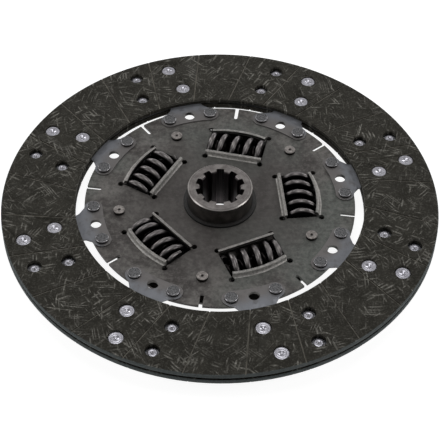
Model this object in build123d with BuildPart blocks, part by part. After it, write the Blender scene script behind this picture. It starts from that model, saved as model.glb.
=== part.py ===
import os
from math import asin, ceil, cos, degrees, hypot, radians, sin

from build123d import *

# Clutch disc with torsion damper. The Z axis is the shaft, +Z points to the side that carries
# the segment feet, and the origin is the centre of the hub's rear end face.
# Angles are counter-clockwise seen from +Z. Lengths are millimetres.

# Friction facings: two equal rings, riveted back to back on the cushion segments
facing_outer_r = 155.0
facing_inner_r = 103.0
facing_thick = 3.5
facing_edge_chamfer = 0.4
cushion_gap = 2.0  # kept open between the facings by the waved segments
rear_reach = 15.8  # hub's rear end to the rear facing's friction face
groove_count = 24
groove_width = 1.0
groove_depth = 0.7
groove_offset = 27.0  # the grooves miss the shaft axis by this much
groove_angle = -3.4

# Cushion segments
segment_count = 8
segment_thick = 0.8
foot_angle = 15.3
foot_recess = 2.6  # front facing's friction face down to the feet
foot_end_r = 6.5  # round end of a foot, about its rivet
foot_hole_r = 3.9
neck_inset = 2.7  # from the facings' bore in to the neck's widest place
neck_half_angle = 7.3
neck_root_half_angle = 5.6
fold_clearance = 0.3  # drive plate's edge to the start of the fold
fold_run = 4.8
wing_lead_angle = 6.95  # a wing's middle is this far round from its foot
wing_half_angle = 21.7
wing_inset = 1.0  # wing edge inside the facing at both its radii
wing_corner_r = 3.0
wave_flat = 11.0  # half the width of each level stretch of the wave
wave_ramp = 8.0

# Facing rivets: tubular, head sunk in its own facing, rolled over the segment
facing_rivet_outer_share = 0.254  # of the facing's width, in from its outer edge
facing_rivet_inner_share = 0.309  # of the facing's width, out from its bore
facing_rivet_outer_angle = 5.33  # from the middle of the wing
facing_rivet_inner_angle = 7.91
facing_rivet_recess = 1.1
facing_rivet_head_r = 5.4
facing_rivet_head_thick = 0.9
facing_rivet_shank_r = 2.5
facing_rivet_roll_r = 3.8
facing_rivet_roll_hole_r = 5.2
facing_rivet_roll_height = 1.4
facing_rivet_bore_r = 1.2
facing_rivet_bore_depth = 3.0
head_seat_clearance = 0.4
shank_clearance = 0.05

# Segment rivets, on the drive plate's rim
segment_rivet_inset = 6.4  # drive plate's edge to the rivet circle
segment_rivet_angle = 9.9  # each side of the foot's middle
segment_rivet_shank_r = 3.0
segment_rivet_head_r = 4.6
segment_rivet_head_height = 2.0
segment_rivet_head_round = 0.8

# Drive plate and cover plate
plate_thick = 2.0
rim_gap = 6.6  # drive plate's edge to the facings' bore
cover_plate_r = 83.0
cover_bore_r = 26.0
rim_slot_angle = 37.7
rim_slot_width = 2.6
rim_slot_length = 10.7

# Spring windows and their lips
spring_count = 5
window_angle = 6.22
window_length = 42.0
spring_circle_r = 57.35
lip_overhang = 1.95  # a lip's tip stands this far in over its spring
lip_rise = 3.2
lip_bend_angle = 78.0
lip_bend_r = 2.0
lip_end_gap = 0.1
relief_hole_r = 2.1
relief_inner_inset = 0.5
relief_outer_outset = 0.8

# Hub
hub_length = 36.5
hub_r = 22.9
hub_front_chamfer = 0.8
hub_rear_chamfer = 1.5
flange_r = 78.0
flange_thick = 6.0
flange_root_r = 0.8
flange_window_clearance = 0.5
plate_gap = 2.8  # flange to plate, on both sides
spline_count = 10
spline_major_r = 17.45
spline_minor_r = 14.15
spline_width = 5.44
spline_lead = 1.0

# Stop pins and the damper's travel
pin_circle_r = 72.1
pin_body_r = 5.5
pin_end_r = 3.1
pin_head_r = 4.0
pin_head_height = 2.5
pin_head_round = 0.4
pin_dimple_r = 1.2
pin_dimple_depth = 1.4
drive_travel_angle = 9.5
coast_travel_angle = 4.0
stop_clearance = 0.3
notch_floor_clearance = 0.8
notch_corner_r = 2.0

# Damper springs
spring_seat_gap = 0.05
outer_coil_r = 13.3
outer_wire_r = 2.5
outer_turn_count = 4.7
inner_coil_r = 7.8
inner_wire_r = 1.6
inner_turn_count = 7.6

# Friction washers around the hub
hub_running_clearance = 0.08
bush_collar_r = 26.0
bush_collar_rise = 1.5
bush_washer_r = 37.0
bush_mouth_chamfer = 1.2
friction_ring_thick = 1.2
friction_ring_bore_r = 24.2
support_ring_thick = 0.6
disc_spring_thick = 0.6
disc_spring_bore_r = 25.5
washer_outer_r = 36.0

# Construction
cut_margin = 1.0  # cutting shapes reach this far past what they cut
neck_overlap = 1.5  # a segment's neck runs this far into its wing
tolerance = 0.01

# Radii that follow
facing_width = facing_outer_r - facing_inner_r
facing_rivet_outer_r = facing_outer_r - facing_rivet_outer_share * facing_width
facing_rivet_inner_r = facing_inner_r + facing_rivet_inner_share * facing_width
drive_plate_r = facing_inner_r - rim_gap
segment_rivet_circle_r = drive_plate_r - segment_rivet_inset
foot_inner_r = segment_rivet_circle_r - foot_end_r
foot_outer_r = segment_rivet_circle_r + foot_end_r
neck_r = facing_inner_r - neck_inset
rim_slot_inner_r = drive_plate_r - rim_slot_length
window_inner_tip = spring_circle_r - outer_coil_r + lip_overhang  # tip of the straight inner lip
window_outer_tip = spring_circle_r + outer_coil_r - lip_overhang  # tip of the round outer lip

# Heights that follow
pack_thick = 2 * facing_thick + cushion_gap
front_face_z = rear_reach + pack_thick
pack_middle_z = rear_reach + pack_thick / 2
front_facing_back_z = front_face_z - facing_thick
rear_facing_front_z = rear_reach + facing_thick
foot_front_z = front_face_z - foot_recess
plate_front_z = foot_front_z - segment_thick
plate_back_z = plate_front_z - plate_thick
flange_front_z = plate_back_z - plate_gap
flange_back_z = flange_front_z - flange_thick
spring_z = flange_back_z + flange_thick / 2
cover_front_z = flange_back_z - plate_gap
cover_back_z = cover_front_z - plate_thick
wing_angle = foot_angle + wing_lead_angle


def polar(radius, angle):
    return (radius * cos(radians(angle)), radius * sin(radians(angle)))


def sector(inner_r, outer_r, half_angle, middle=0.0):
    # Face between two arcs and two radial edges
    start = middle - half_angle
    stop = middle + half_angle
    with BuildSketch() as face:
        with BuildLine():
            CenterArc((0, 0), outer_r, start, 2 * half_angle)
            Line(polar(outer_r, stop), polar(inner_r, stop))
            CenterArc((0, 0), inner_r, start, 2 * half_angle)
            Line(polar(inner_r, start), polar(outer_r, start))
        make_face()
    return face.sketch


def turned_over(piece):
    # The second facing and its rivets are the first ones turned over about a wing's middle line
    x, y = polar(1.0, wing_angle)
    return piece.rotate(Axis((0, 0, pack_middle_z), (x, y, 0)), 180)


def write_around(piece, label, count, first_angle):
    # One numbered sub-part for each place round the shaft
    for number in range(count):
        with BuildPart() as placed:
            add(piece, rotation=(0, 0, first_angle + number * 360 / count))
        placed.part.label = f"{label}_{number + 1}"
        export_step(placed.part, f"parts/{label}_{number + 1}.step")


# Each facing rivet as (circle radius, angle): the front ones hold the front facing
front_rivets = [
    (facing_rivet_outer_r, wing_angle - facing_rivet_outer_angle),
    (facing_rivet_inner_r, wing_angle - facing_rivet_inner_angle),
]
rear_rivets = [
    (facing_rivet_outer_r, wing_angle + facing_rivet_outer_angle),
    (facing_rivet_inner_r, wing_angle + facing_rivet_inner_angle),
]
shank_hole_r = facing_rivet_shank_r + shank_clearance
seat_hole_r = facing_rivet_head_r + head_seat_clearance
seat_depth = facing_rivet_recess + facing_rivet_head_thick

# Friction facings
with BuildPart() as front_facing:
    with BuildSketch(Plane.XY.offset(front_facing_back_z)):
        Circle(facing_outer_r)
        Circle(facing_inner_r, mode=Mode.SUBTRACT)
        for ring_r, angle in front_rivets:
            with PolarLocations(ring_r, segment_count, start_angle=angle):
                Circle(shank_hole_r, mode=Mode.SUBTRACT)
        for ring_r, angle in rear_rivets:
            with PolarLocations(ring_r, segment_count, start_angle=angle):
                Circle(facing_rivet_roll_hole_r, mode=Mode.SUBTRACT)
    extrude(amount=facing_thick)
    rims = front_facing.edges().filter_by(GeomType.CIRCLE)
    chamfer(rims.filter_by(lambda e: e.radius > facing_outer_r - tolerance), facing_edge_chamfer)
    with BuildSketch(Plane.XY.offset(front_face_z - seat_depth)):
        for ring_r, angle in front_rivets:
            with PolarLocations(ring_r, segment_count, start_angle=angle):
                Circle(seat_hole_r)
    extrude(amount=seat_depth, mode=Mode.SUBTRACT)
    groove_middle_r = (facing_inner_r + facing_outer_r) / 2
    groove_length = 2 * (facing_outer_r - facing_inner_r)
    with BuildSketch(Plane.XY.offset(front_face_z - groove_depth)):
        with PolarLocations(0, groove_count, start_angle=groove_angle):
            with Locations((groove_middle_r, groove_offset)):
                Rectangle(groove_length, groove_width)
    extrude(amount=groove_depth, mode=Mode.SUBTRACT)
front_facing.part.label = "front_facing"
export_step(front_facing.part, "parts/front_facing.step")

with BuildPart() as rear_facing:
    add(turned_over(front_facing.part))
rear_facing.part.label = "rear_facing"
export_step(rear_facing.part, "parts/rear_facing.step")

# Facing rivets
with BuildPart() as facing_rivet:
    head_top_z = front_face_z - facing_rivet_recess
    head_back_z = head_top_z - facing_rivet_head_thick
    roll_top_z = front_facing_back_z - segment_thick
    roll_end_z = roll_top_z - facing_rivet_roll_height
    roll_round = facing_rivet_roll_height / 2
    with BuildSketch(Plane.XZ):
        with BuildLine():
            Polyline(
                (0, head_top_z),
                (facing_rivet_head_r, head_top_z),
                (facing_rivet_head_r, head_back_z),
                (facing_rivet_shank_r, head_back_z),
                (facing_rivet_shank_r, roll_top_z),
                (facing_rivet_roll_r, roll_top_z),
                (facing_rivet_roll_r, roll_end_z + roll_round),
            )
            RadiusArc(
                (facing_rivet_roll_r, roll_end_z + roll_round),
                (facing_rivet_roll_r - roll_round, roll_end_z),
                roll_round,
            )
            Polyline(
                (facing_rivet_roll_r - roll_round, roll_end_z),
                (facing_rivet_bore_r, roll_end_z),
                (facing_rivet_bore_r, roll_end_z + facing_rivet_bore_depth),
                (0, roll_end_z + facing_rivet_bore_depth),
                (0, head_top_z),
            )
        make_face()
    revolve(axis=Axis.Z)

with BuildPart() as front_facing_rivets:
    for ring_r, angle in front_rivets:
        with PolarLocations(ring_r, segment_count, start_angle=angle):
            add(facing_rivet.part)
front_facing_rivets.part.label = "front_facing_rivets"
export_step(front_facing_rivets.part, "parts/front_facing_rivets.step")

with BuildPart() as rear_facing_rivets:
    add(turned_over(front_facing_rivets.part))
rear_facing_rivets.part.label = "rear_facing_rivets"
export_step(rear_facing_rivets.part, "parts/rear_facing_rivets.step")

# Cushion segments: a waved wing between the facings and a foot folded up onto the drive plate
wing_inner_r = facing_inner_r + wing_inset
wing_outer_r = facing_outer_r - 2 * wing_inset
rivet_mean_r = (facing_rivet_outer_r + facing_rivet_inner_r) / 2
rivet_mean_angle = (facing_rivet_outer_angle + facing_rivet_inner_angle) / 2
crest = rivet_mean_r * sin(radians(rivet_mean_angle))
wave_end = wing_outer_r * sin(radians(wing_half_angle)) + wave_ramp
front_level = front_facing_back_z
rear_level = rear_facing_front_z + segment_thick
wave_top = [
    (-wave_end, rear_level),
    (-crest - wave_flat - wave_ramp, rear_level),
    (-crest - wave_flat, front_level),
    (-crest + wave_flat, front_level),
    (crest - wave_flat, rear_level),
    (crest + wave_flat, rear_level),
    (crest + wave_flat + wave_ramp, front_level),
    (wave_end, front_level),
]
wave_bottom = [(along, z - segment_thick) for along, z in reversed(wave_top)]
across_wing = Plane(
    origin=(0, 0, 0),
    x_dir=(-sin(radians(wing_lead_angle)), cos(radians(wing_lead_angle)), 0),
    z_dir=(cos(radians(wing_lead_angle)), sin(radians(wing_lead_angle)), 0),
)
with BuildPart() as wing:
    with BuildSketch(across_wing):
        with BuildLine():
            Polyline(*wave_top, *wave_bottom, close=True)
        make_face()
    extrude(amount=facing_outer_r)
    with BuildSketch() as wing_outline:
        add(sector(wing_inner_r, wing_outer_r, wing_half_angle, wing_lead_angle))
        fillet(wing_outline.vertices(), wing_corner_r)
    extrude(amount=front_face_z, mode=Mode.INTERSECT)

fold_start_r = drive_plate_r + fold_clearance
fold_end_r = fold_start_r + fold_run
neck_root_r = wing_inner_r + neck_overlap
foot_rivets = [polar(segment_rivet_circle_r, side * segment_rivet_angle) for side in (-1, 1)]
with BuildPart() as segment:
    with BuildSketch(Plane.XZ):
        with BuildLine():
            Polyline(
                (foot_inner_r - cut_margin, foot_front_z),
                (fold_start_r, foot_front_z),
                (fold_end_r, front_level),
                (neck_root_r, front_level),
                (neck_root_r, front_level - segment_thick),
                (fold_end_r, front_level - segment_thick),
                (fold_start_r, foot_front_z - segment_thick),
                (foot_inner_r - cut_margin, foot_front_z - segment_thick),
                close=True,
            )
        make_face()
    revolve(axis=Axis.Z)
    with BuildSketch():
        add(sector(foot_inner_r, foot_outer_r, segment_rivet_angle))
        with Locations(*foot_rivets):
            Circle(foot_end_r)
        with BuildLine():
            Polyline(
                polar(segment_rivet_circle_r, -segment_rivet_angle),
                polar(foot_outer_r, -segment_rivet_angle),
                polar(neck_r, -neck_half_angle),
                polar(neck_root_r + cut_margin, -neck_root_half_angle),
                polar(neck_root_r + cut_margin, neck_root_half_angle),
                polar(neck_r, neck_half_angle),
                polar(foot_outer_r, segment_rivet_angle),
                polar(segment_rivet_circle_r, segment_rivet_angle),
                close=True,
            )
        make_face()
    extrude(amount=front_face_z, mode=Mode.INTERSECT)
    add(wing.part)
    with BuildSketch():
        with Locations((segment_rivet_circle_r, 0)):
            Circle(foot_hole_r)
        with Locations(*foot_rivets):
            Circle(segment_rivet_shank_r + shank_clearance)
        for ring_r, angle in front_rivets + rear_rivets:
            with Locations(polar(ring_r, angle - foot_angle)):
                Circle(shank_hole_r)
    extrude(amount=front_face_z, mode=Mode.SUBTRACT)
write_around(segment.part, "cushion_segment", segment_count, foot_angle)

# Segment rivets: round heads on the feet, closed on the back of the drive plate
with BuildPart() as segment_rivet:
    rivet_top_z = foot_front_z + segment_rivet_head_height
    rivet_end_z = plate_back_z - segment_rivet_head_height
    with BuildSketch(Plane.XZ):
        with BuildLine():
            Polyline(
                (0, rivet_top_z),
                (segment_rivet_head_r, rivet_top_z),
                (segment_rivet_head_r, foot_front_z),
                (segment_rivet_shank_r, foot_front_z),
                (segment_rivet_shank_r, plate_back_z),
                (segment_rivet_head_r, plate_back_z),
                (segment_rivet_head_r, rivet_end_z),
                (0, rivet_end_z),
                close=True,
            )
        make_face()
    revolve(axis=Axis.Z)
    ends = segment_rivet.edges().filter_by(GeomType.CIRCLE).group_by(Axis.Z)
    fillet(ends[0] + ends[-1], segment_rivet_head_round)

with BuildPart() as segment_rivets:
    for side in (-1, 1):
        start = foot_angle + side * segment_rivet_angle
        with PolarLocations(segment_rivet_circle_r, segment_count, start_angle=start):
            add(segment_rivet.part)
segment_rivets.part.label = "segment_rivets"
export_step(segment_rivets.part, "parts/segment_rivets.step")

# A lip is the plate's own sheet, bent up beside the window and leaning over the spring.
# Its section is drawn with the tip's spring side on x = 0 and the plate's spring side on y = 0.
bend_outer_r = lip_bend_r + plate_thick
lip_height = plate_thick + lip_rise
bend_sin = sin(radians(lip_bend_angle))
bend_cos = cos(radians(lip_bend_angle))
wall_length = (lip_height - bend_outer_r * (1 - bend_cos)) / bend_sin
bend_x = -(bend_outer_r * bend_sin + wall_length * bend_cos)
lip_overlap = 0.5


def lip_section():
    tip = (0, lip_height)
    tip_back = (-plate_thick * bend_sin, lip_height + plate_thick * bend_cos)
    root_x = bend_x - lip_overlap
    with BuildSketch() as section:
        with BuildLine():
            Line((root_x, 0), (bend_x, 0))
            CenterArc((bend_x, bend_outer_r), bend_outer_r, -90, lip_bend_angle)
            Line((bend_x + bend_outer_r * bend_sin, bend_outer_r * (1 - bend_cos)), tip)
            Line(tip, tip_back)
            Line(tip_back, (bend_x + lip_bend_r * bend_sin, bend_outer_r - lip_bend_r * bend_cos))
            CenterArc((bend_x, bend_outer_r), lip_bend_r, -90, lip_bend_angle)
            Line((bend_x, plate_thick), (root_x, plate_thick))
            Line((root_x, plate_thick), (root_x, 0))
        make_face()
    return section.sketch


lip_length = window_length - 2 * lip_end_gap
window_inner_edge = window_inner_tip + bend_x
window_outer_edge = window_outer_tip - bend_x
lip_half_angle = degrees(asin(lip_length / 2 / window_outer_edge))
relief_inner = (window_inner_edge + relief_inner_inset, window_length / 2 - relief_inner_inset)
relief_outer = (
    (window_outer_edge**2 - (window_length / 2) ** 2) ** 0.5,
    window_length / 2 + relief_outer_outset,
)

with BuildPart() as inner_lip:
    inner_section = Plane(
        origin=(window_inner_tip, lip_length / 2, 0), x_dir=(1, 0, 0), z_dir=(0, -1, 0)
    )
    with BuildSketch(inner_section):
        add(lip_section())
    extrude(amount=lip_length)

with BuildPart() as outer_lip:
    out_x, out_y = polar(1.0, -lip_half_angle)
    outer_section = Plane(
        origin=(window_outer_tip * out_x, window_outer_tip * out_y, 0),
        x_dir=(-out_x, -out_y, 0),
        z_dir=(-out_y, out_x, 0),
    )
    with BuildSketch(outer_section):
        add(lip_section())
    revolve(axis=Axis.Z, revolution_arc=2 * lip_half_angle)


def window_outline(inner_edge, outer_edge):
    # Straight on three sides, round on the outer one
    depth = outer_edge - inner_edge
    with BuildSketch() as outline:
        Circle(outer_edge)
        with Locations((inner_edge, 0)):
            Rectangle(depth, window_length, align=(Align.MIN, Align.CENTER), mode=Mode.INTERSECT)
    return outline.sketch


def windowed_plate(outer_r):
    # Plate with its spring side on z = 0 and its lips standing up
    with BuildPart() as plate:
        with BuildSketch():
            Circle(outer_r)
            Circle(cover_bore_r, mode=Mode.SUBTRACT)
            with PolarLocations(0, spring_count, start_angle=window_angle):
                add(window_outline(window_inner_edge, window_outer_edge), mode=Mode.SUBTRACT)
            with PolarLocations(pin_circle_r, spring_count, start_angle=pin_angle):
                Circle(pin_end_r + shank_clearance, mode=Mode.SUBTRACT)
        extrude(amount=plate_thick)
        with PolarLocations(0, spring_count, start_angle=window_angle):
            add(inner_lip.part)
            add(outer_lip.part)
        with BuildSketch():
            with PolarLocations(0, spring_count, start_angle=window_angle):
                for across, along in (relief_inner, relief_outer):
                    with Locations((across, along), (across, -along)):
                        Circle(relief_hole_r)
        extrude(amount=plate_thick + lip_bend_r, mode=Mode.SUBTRACT)
    return plate.part


# The pins stand off the middle between two windows, so that the disc turns further one way
pin_angle = window_angle + 180 / spring_count + (drive_travel_angle - coast_travel_angle) / 2

# Drive plate
with BuildPart() as drive_plate:
    with Locations((0, 0, plate_back_z)):
        add(windowed_plate(drive_plate_r))
    with BuildSketch(Plane.XY.offset(plate_back_z)):
        with PolarLocations(0, segment_count, start_angle=rim_slot_angle):
            with Locations((rim_slot_inner_r + rim_slot_width / 2, 0)):
                Circle(rim_slot_width / 2)
                Rectangle(rim_slot_length, rim_slot_width, align=(Align.MIN, Align.CENTER))
        with PolarLocations(segment_rivet_circle_r, segment_count, start_angle=foot_angle):
            Circle(foot_hole_r)
        for side in (-1, 1):
            start = foot_angle + side * segment_rivet_angle
            with PolarLocations(segment_rivet_circle_r, segment_count, start_angle=start):
                Circle(segment_rivet_shank_r + shank_clearance)
    extrude(amount=plate_thick, mode=Mode.SUBTRACT)
drive_plate.part.label = "drive_plate"
export_step(drive_plate.part, "parts/drive_plate.step")

# Cover plate, its lips pointing to the rear
with BuildPart() as cover_plate:
    with Locations((0, 0, cover_front_z)):
        add(windowed_plate(cover_plate_r).mirror(Plane.XY))
cover_plate.part.label = "cover_plate"
export_step(cover_plate.part, "parts/cover_plate.step")

# Stop pins: a thick body holds the plates apart, and its ends are riveted over
with BuildPart() as stop_pin:
    pin_top_z = plate_front_z + pin_head_height
    pin_end_z = cover_back_z - pin_head_height
    with BuildSketch(Plane.XZ):
        with BuildLine():
            Polyline(
                (0, pin_top_z),
                (pin_head_r, pin_top_z),
                (pin_head_r, plate_front_z),
                (pin_end_r, plate_front_z),
                (pin_end_r, plate_back_z),
                (pin_body_r, plate_back_z),
                (pin_body_r, cover_front_z),
                (pin_end_r, cover_front_z),
                (pin_end_r, cover_back_z),
                (pin_head_r, cover_back_z),
                (pin_head_r, pin_end_z),
                (0, pin_end_z),
                close=True,
            )
        make_face()
    revolve(axis=Axis.Z)
    ends = stop_pin.edges().filter_by(GeomType.CIRCLE).group_by(Axis.Z)
    fillet(ends[0] + ends[-1], pin_head_round)
    with Locations((0, 0, pin_top_z - pin_dimple_depth / 2)):
        Cone(pin_dimple_r / 2, pin_dimple_r, pin_dimple_depth, mode=Mode.SUBTRACT)
    with Locations((0, 0, pin_end_z + pin_dimple_depth / 2)):
        Cone(pin_dimple_r, pin_dimple_r / 2, pin_dimple_depth, mode=Mode.SUBTRACT)
with BuildPart() as first_pin:
    with Locations((pin_circle_r, 0, 0)):
        add(stop_pin.part)
write_around(first_pin.part, "stop_pin", spring_count, pin_angle)

# Hub: splined barrel and a flange with spring windows and stop notches
notch_half_angle = (drive_travel_angle + coast_travel_angle) / 2 + degrees(
    asin((pin_body_r + stop_clearance) / pin_circle_r)
)
notch_floor_r = pin_circle_r - pin_body_r - notch_floor_clearance
flange_window_inner = spring_circle_r - outer_coil_r - flange_window_clearance
flange_window_outer = hypot(
    spring_circle_r + outer_coil_r + flange_window_clearance, window_length / 2
)
with BuildPart() as hub:
    with BuildSketch():
        Circle(hub_r)
    extrude(amount=hub_length)
    rims = hub.edges().filter_by(GeomType.CIRCLE).sort_by(Axis.Z)
    chamfer(rims[-1], hub_front_chamfer)
    chamfer(rims[0], hub_rear_chamfer)
    with BuildSketch(Plane.XY.offset(flange_back_z)):
        Circle(flange_r)
        Circle(hub_r - cut_margin, mode=Mode.SUBTRACT)
    extrude(amount=flange_thick)
    roots = hub.edges().filter_by(GeomType.CIRCLE)
    roots = roots.filter_by(lambda e: abs(e.radius - hub_r) < tolerance)
    roots = roots.filter_by_position(Axis.Z, flange_back_z - tolerance, flange_front_z + tolerance)
    fillet(roots, flange_root_r)
    with BuildSketch(Plane.XY.offset(flange_back_z)):
        with PolarLocations(0, spring_count, start_angle=window_angle):
            add(window_outline(flange_window_inner, flange_window_outer))
    extrude(amount=flange_thick, mode=Mode.SUBTRACT)
    with BuildSketch(Plane.XY.offset(flange_back_z)):
        with PolarLocations(0, spring_count, start_angle=window_angle + 180 / spring_count):
            add(sector(notch_floor_r, flange_r + cut_margin, notch_half_angle))
    extrude(amount=flange_thick, mode=Mode.SUBTRACT)
    notch_corners = hub.edges().filter_by(Axis.Z)
    notch_corners = notch_corners.filter_by(
        lambda e: abs(hypot(e.center().X, e.center().Y) - notch_floor_r) < tolerance
    )
    fillet(notch_corners, notch_corner_r)
    with BuildSketch():
        with PolarLocations(0, spline_count, start_angle=90):
            Rectangle(spline_major_r + cut_margin, spline_width, align=(Align.MIN, Align.CENTER))
        Circle(spline_major_r, mode=Mode.INTERSECT)
        Circle(spline_minor_r)
    extrude(amount=hub_length, mode=Mode.SUBTRACT)
    lead_r = spline_minor_r + spline_lead
    with Locations((0, 0, hub_length - spline_lead / 2)):
        Cone(spline_minor_r, lead_r, spline_lead, mode=Mode.SUBTRACT)
    with Locations((0, 0, spline_lead / 2)):
        Cone(lead_r, spline_minor_r, spline_lead, mode=Mode.SUBTRACT)
hub.part.label = "hub"
export_step(hub.part, "parts/hub.step")


def washer(inner_r, outer_r, low_z, high_z):
    with BuildPart() as ring:
        with BuildSketch(Plane.XY.offset(low_z)):
            Circle(outer_r)
            Circle(inner_r, mode=Mode.SUBTRACT)
        extrude(amount=high_z - low_z)
    return ring.part


# Friction bush: centres the drive plate on the hub and rubs on the flange
bush_bore_r = hub_r + hub_running_clearance
with BuildPart() as friction_bush:
    add(washer(bush_bore_r, bush_washer_r, flange_front_z, plate_back_z))
    add(washer(bush_bore_r, bush_collar_r - shank_clearance, plate_back_z, plate_front_z + bush_collar_rise))
    mouth = friction_bush.edges().filter_by(GeomType.CIRCLE).sort_by(Axis.Z)
    mouth = mouth.filter_by(lambda e: abs(e.radius - bush_bore_r) < tolerance)
    chamfer(mouth[0], bush_mouth_chamfer)
friction_bush.part.label = "friction_bush"
export_step(friction_bush.part, "parts/friction_bush.step")

# Rear friction ring, its steel support ring and the disc spring that loads them
ring_back_z = flange_back_z - friction_ring_thick
with BuildPart() as friction_ring:
    add(washer(friction_ring_bore_r, washer_outer_r, ring_back_z, flange_back_z))
friction_ring.part.label = "rear_friction_ring"
export_step(friction_ring.part, "parts/rear_friction_ring.step")

support_back_z = ring_back_z - support_ring_thick
with BuildPart() as support_ring:
    add(washer(friction_ring_bore_r, washer_outer_r, support_back_z, ring_back_z))
support_ring.part.label = "support_ring"
export_step(support_ring.part, "parts/support_ring.step")

with BuildPart() as disc_spring:
    with BuildSketch(Plane.XZ):
        with BuildLine():
            Polyline(
                (disc_spring_bore_r, support_back_z),
                (washer_outer_r, cover_front_z + disc_spring_thick),
                (washer_outer_r, cover_front_z),
                (disc_spring_bore_r, support_back_z - disc_spring_thick),
                close=True,
            )
        make_face()
    revolve(axis=Axis.Z)
disc_spring.part.label = "disc_spring"
export_step(disc_spring.part, "parts/disc_spring.step")


def damper_spring(coil_r, wire_r, turns, left_hand):
    # Coil lying across the window, with a turn's crown at its middle and ends ground square
    length = window_length - 2 * spring_seat_gap
    pitch = length / turns
    run = 2 * ceil((turns + 1) / 2) * pitch
    base = (spring_circle_r, -run / 2, spring_z)
    with BuildPart() as coil:
        with BuildLine():
            wire = Helix(pitch, run, coil_r - wire_r, base, (0, 1, 0), lefthand=left_hand)
        with BuildSketch(Plane(origin=wire @ 0, z_dir=wire % 0)):
            Circle(wire_r)
        sweep(path=wire, is_frenet=True)
    crown_up = coil.part.rotate(Axis(base, (0, 1, 0)), -90)
    with BuildPart() as ground:
        add(crown_up)
        with Locations((spring_circle_r, 0, spring_z)):
            Box(3 * coil_r, length, 3 * coil_r, mode=Mode.INTERSECT)
    return ground.part


# Damper springs, an inner one inside each outer one
outer_spring = damper_spring(outer_coil_r, outer_wire_r, outer_turn_count, True)
write_around(outer_spring, "damper_spring_outer", spring_count, window_angle)
inner_spring = damper_spring(inner_coil_r, inner_wire_r, inner_turn_count, False)
write_around(inner_spring, "damper_spring_inner", spring_count, window_angle)
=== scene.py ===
import math
from functools import partial

import bmesh
import bpy
from mathutils import Matrix, Vector


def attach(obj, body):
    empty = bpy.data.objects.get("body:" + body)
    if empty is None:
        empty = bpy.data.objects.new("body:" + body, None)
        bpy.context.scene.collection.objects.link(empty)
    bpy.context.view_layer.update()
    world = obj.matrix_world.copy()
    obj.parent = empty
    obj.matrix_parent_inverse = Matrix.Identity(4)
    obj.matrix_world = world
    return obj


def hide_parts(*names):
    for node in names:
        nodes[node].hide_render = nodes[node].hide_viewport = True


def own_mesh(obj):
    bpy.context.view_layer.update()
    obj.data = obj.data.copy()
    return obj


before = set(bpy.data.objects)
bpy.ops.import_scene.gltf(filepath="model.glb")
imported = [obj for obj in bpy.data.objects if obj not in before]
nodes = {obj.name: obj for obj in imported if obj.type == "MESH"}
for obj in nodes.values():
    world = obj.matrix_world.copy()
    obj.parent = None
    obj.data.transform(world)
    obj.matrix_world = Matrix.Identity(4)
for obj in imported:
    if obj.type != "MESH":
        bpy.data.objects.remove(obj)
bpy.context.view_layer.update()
mm = 0.001

# Heights of the middle between the facings' rubbing faces, and of the middle of the damper
packMiddle = 20.3 * mm
damperMiddle = 13.6 * mm

# Angles around the shaft, in degrees: the middle of the first spring window, and of the first
# segment's foot and wing
dampers = 5
damperStep = 360 / dampers
windowAngle = 6.22
segments = 8
footAngle = 15.3
wingAngle = footAngle + 6.95


def hexColour(code):
    # sRGB hex to the linear colour that a shader socket takes
    parts = [int(code[i : i + 2], 16) / 255 for i in (1, 3, 5)]
    linear = [p / 12.92 if p <= 0.04045 else ((p + 0.055) / 1.055) ** 2.4 for p in parts]
    return (*linear, 1.0)


def feed(node, inputs):
    # a socket is linked, a hex code is set as its colour, and any other value is set as it is
    pairs = inputs.items() if isinstance(inputs, dict) else enumerate(inputs)
    for key, value in pairs:
        if isinstance(value, bpy.types.NodeSocket):
            node.id_data.links.new(value, node.inputs[key])
        else:
            node.inputs[key].default_value = hexColour(value) if isinstance(value, str) else value


def addNode(tree, kind, inputs=(), output=0, **settings):
    # shader nodes are named without their prefix; returns the output that is asked for
    node = tree.nodes.new(kind if "Node" in kind else "ShaderNode" + kind)
    for name, value in settings.items():
        setattr(node, name, value)
    feed(node, inputs)
    return node.outputs[output] if node.outputs else node


def shareOf(add, *bands):
    # each band has a value, the two levels it rises between, and the shares there if not 0 and 1;
    # the shares of several bands are multiplied
    share = None
    for value, low, high, *ends in bands:
        levels = (value, low, high, *(ends or (0.0, 1.0)))
        step = add("MapRange", levels, interpolation_type="SMOOTHSTEP")
        share = step if share is None else add("Math", (share, step), operation="MULTIPLY")
    return share


def paintOver(add, under, over, *bands):
    return add("Mix", {0: shareOf(add, *bands), 6: under, 7: over}, 2, data_type="RGBA")


def coated(add, values, coats):
    # a ground colour, then coats: each with its colour, the value it follows, and that value's band
    ground, *others = coats
    for over, name, *band in others:
        ground = paintOver(add, ground, over, (values[name], *band))
    return ground


def newMaterial(look):
    # the values that coats can follow: places and noises, each noise with its blotches' size,
    # detail, roughness and distortion
    material = bpy.data.materials.new(look["name"])
    material.use_nodes = True
    add = partial(addNode, material.node_tree)
    shader = material.node_tree.nodes["Principled BSDF"]
    feed(shader, look["shader"])
    place = add("TexCoord", output="Object")
    x, y, height = add("SeparateXYZ", (place,)).node.outputs
    flat = add("CombineXYZ", (x, y))
    radius = add("VectorMath", (flat,), "Value", operation="LENGTH")
    values = {"place": place, "x": x, "y": y, "height": height, "flat": flat, "radius": radius}
    if "middleHeight" in look:
        apart = add("Math", (height, look["middleHeight"]), operation="SUBTRACT")
        values["fromMiddle"] = add("Math", (apart,), operation="ABSOLUTE")
    for name, (size, detail, roughness, distortion) in look["noises"].items():
        settings = {"Detail": detail, "Roughness": roughness, "Distortion": distortion}
        values[name] = add("TexNoise", {"Vector": place, "Scale": 1 / size, **settings})
    return material, add, shader, values


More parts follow.
